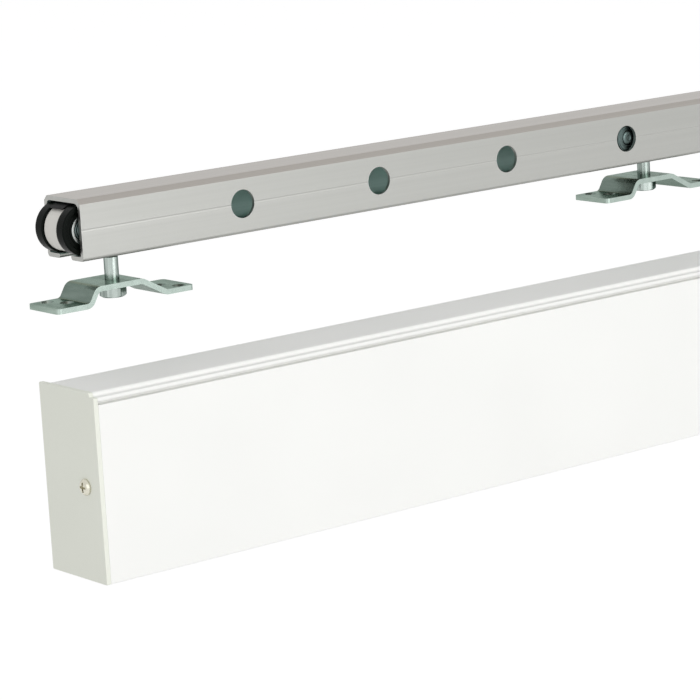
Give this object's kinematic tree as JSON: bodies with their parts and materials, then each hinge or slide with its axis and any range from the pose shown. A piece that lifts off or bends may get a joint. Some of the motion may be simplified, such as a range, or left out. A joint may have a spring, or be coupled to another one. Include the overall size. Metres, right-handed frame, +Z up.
{
  "type": "curtain and sliding panel track with cover",
  "caption": "Wall-mounted aluminium top-hung track with four-wheel roller hangers on height-adjusting bolts with bent brackets, and its clip-on pelmet cover with end caps, taken off.",
  "frame": {"origin": "the middle wall screw hole on the track's back face, at half the track's height", "axes": "+X along the track from the near end to the far end with the stop, +Y towards the wall, +Z up; the wall is the plane y = 0 and the room is at -Y"},
  "size_m": [1.0692, 0.084, 0.1985],
  "materials": {
    "aluminium": "satin anodised",
    "cover_white": "satin",
    "cap_grey": "satin",
    "body_white": "moulded",
    "black_plastic": "moulded",
    "wheel_black": "smooth",
    "zinc": "zinc plated",
    "bolt_steel": "zinc plated",
    "axle_steel": "turned",
    "cap_screw_steel": "nickel",
    "rubber": "matt"
  },
  "bodies": {
    "track": {"track_rail": "aluminium", "stop_block": "zinc", "stop_buffer": "rubber", "stop_screw": "bolt_steel"},
    "hanger_1": {"hanger_1_body": "body_white", "hanger_1_top_guide": "black_plastic", "hanger_1_axle_near": "axle_steel", "hanger_1_axle_far": "axle_steel"},
    "hanger_1_wheel_near_front": {"hanger_1_wheel_near_front": "wheel_black"},
    "hanger_1_wheel_near_back": {"hanger_1_wheel_near_back": "wheel_black"},
    "hanger_1_wheel_far_front": {"hanger_1_wheel_far_front": "wheel_black"},
    "hanger_1_wheel_far_back": {"hanger_1_wheel_far_back": "wheel_black"},
    "hanger_1_swivel": {"hanger_1_swivel_nut": "axle_steel"},
    "hanger_1_bracket": {"hanger_1_bracket": "zinc", "hanger_1_washer": "zinc"},
    "hanger_1_bolt": {"hanger_1_bolt": "bolt_steel"},
    "hanger_2": {"hanger_2_body": "body_white", "hanger_2_top_guide": "black_plastic", "hanger_2_axle_near": "axle_steel", "hanger_2_axle_far": "axle_steel"},
    "hanger_2_wheel_near_front": {"hanger_2_wheel_near_front": "wheel_black"},
    "hanger_2_wheel_near_back": {"hanger_2_wheel_near_back": "wheel_black"},
    "hanger_2_wheel_far_front": {"hanger_2_wheel_far_front": "wheel_black"},
    "hanger_2_wheel_far_back": {"hanger_2_wheel_far_back": "wheel_black"},
    "hanger_2_swivel": {"hanger_2_swivel_nut": "axle_steel"},
    "hanger_2_bracket": {"hanger_2_bracket": "zinc", "hanger_2_washer": "zinc"},
    "hanger_2_bolt": {"hanger_2_bolt": "bolt_steel"},
    "cover": {"cover_profile": "cover_white", "cover_cap_near": "cap_grey", "cover_cap_far": "cap_grey", "cover_cap_screw_near": "cap_screw_steel", "cover_cap_screw_far": "cap_screw_steel"}
  },
  "joints": [
    {"name": "hanger_1_slide", "type": "slide", "parent": "track", "child": "hanger_1", "axis": [1, 0, 0], "range_m": [0, 0.3]},
    {"name": "hanger_1_wheel_near_front_roll", "type": "hinge", "parent": "hanger_1", "child": "hanger_1_wheel_near_front", "pos_m": [-0.4955, -0.02785, -0.00035], "axis": [0, 1, 0], "continuous": true},
    {"name": "hanger_1_wheel_near_back_roll", "type": "hinge", "parent": "hanger_1", "child": "hanger_1_wheel_near_back", "pos_m": [-0.4955, -0.00715, -0.00035], "axis": [0, 1, 0], "continuous": true},
    {"name": "hanger_1_wheel_far_front_roll", "type": "hinge", "parent": "hanger_1", "child": "hanger_1_wheel_far_front", "pos_m": [-0.4465, -0.02785, -0.00035], "axis": [0, 1, 0], "continuous": true},
    {"name": "hanger_1_wheel_far_back_roll", "type": "hinge", "parent": "hanger_1", "child": "hanger_1_wheel_far_back", "pos_m": [-0.4465, -0.00715, -0.00035], "axis": [0, 1, 0], "continuous": true},
    {"name": "hanger_1_swivel", "type": "hinge", "parent": "hanger_1", "child": "hanger_1_swivel", "pos_m": [-0.471, -0.0175, 0], "axis": [0, 0, 1], "continuous": true},
    {"name": "hanger_1_height", "type": "slide", "parent": "hanger_1_swivel", "child": "hanger_1_bracket", "axis": [0, 0, 1], "range_m": [-0.005, 0.005]},
    {"name": "hanger_1_screw", "type": "hinge", "parent": "hanger_1_bracket", "child": "hanger_1_bolt", "pos_m": [-0.471, -0.0175, -0.036], "axis": [0, 0, 1], "range_deg": [-1440, 1440]},
    {"name": "hanger_2_slide", "type": "slide", "parent": "track", "child": "hanger_2", "axis": [1, 0, 0], "range_m": [0, 0.49]},
    {"name": "hanger_2_wheel_near_front_roll", "type": "hinge", "parent": "hanger_2", "child": "hanger_2_wheel_near_front", "pos_m": [-0.0925, -0.02785, -0.00035], "axis": [0, 1, 0], "continuous": true},
    {"name": "hanger_2_wheel_near_back_roll", "type": "hinge", "parent": "hanger_2", "child": "hanger_2_wheel_near_back", "pos_m": [-0.0925, -0.00715, -0.00035], "axis": [0, 1, 0], "continuous": true},
    {"name": "hanger_2_wheel_far_front_roll", "type": "hinge", "parent": "hanger_2", "child": "hanger_2_wheel_far_front", "pos_m": [-0.0435, -0.02785, -0.00035], "axis": [0, 1, 0], "continuous": true},
    {"name": "hanger_2_wheel_far_back_roll", "type": "hinge", "parent": "hanger_2", "child": "hanger_2_wheel_far_back", "pos_m": [-0.0435, -0.00715, -0.00035], "axis": [0, 1, 0], "continuous": true},
    {"name": "hanger_2_swivel", "type": "hinge", "parent": "hanger_2", "child": "hanger_2_swivel", "pos_m": [-0.068, -0.0175, 0], "axis": [0, 0, 1], "continuous": true},
    {"name": "hanger_2_height", "type": "slide", "parent": "hanger_2_swivel", "child": "hanger_2_bracket", "axis": [0, 0, 1], "range_m": [-0.01, 0]},
    {"name": "hanger_2_screw", "type": "hinge", "parent": "hanger_2_bracket", "child": "hanger_2_bolt", "pos_m": [-0.068, -0.0175, -0.031], "axis": [0, 0, 1], "range_deg": [-2880, 0]},
    {"name": "cover_lift", "type": "slide", "parent": "track", "child": "cover", "axis": [0, 0, 1], "range_m": [0, 0.0965]}
  ],
  "couplings": [
    {"joint": "hanger_1_wheel_near_front_roll", "follows": "hanger_1_slide", "rad_per_m": 71.429},
    {"joint": "hanger_1_wheel_near_back_roll", "follows": "hanger_1_slide", "rad_per_m": 71.429},
    {"joint": "hanger_1_wheel_far_front_roll", "follows": "hanger_1_slide", "rad_per_m": 71.429},
    {"joint": "hanger_1_wheel_far_back_roll", "follows": "hanger_1_slide", "rad_per_m": 71.429},
    {"joint": "hanger_1_screw", "follows": "hanger_1_height", "rad_per_m": 5026.5},
    {"joint": "hanger_2_wheel_near_front_roll", "follows": "hanger_2_slide", "rad_per_m": 71.429},
    {"joint": "hanger_2_wheel_near_back_roll", "follows": "hanger_2_slide", "rad_per_m": 71.429},
    {"joint": "hanger_2_wheel_far_front_roll", "follows": "hanger_2_slide", "rad_per_m": 71.429},
    {"joint": "hanger_2_wheel_far_back_roll", "follows": "hanger_2_slide", "rad_per_m": 71.429},
    {"joint": "hanger_2_screw", "follows": "hanger_2_height", "rad_per_m": 5026.5}
  ]
}
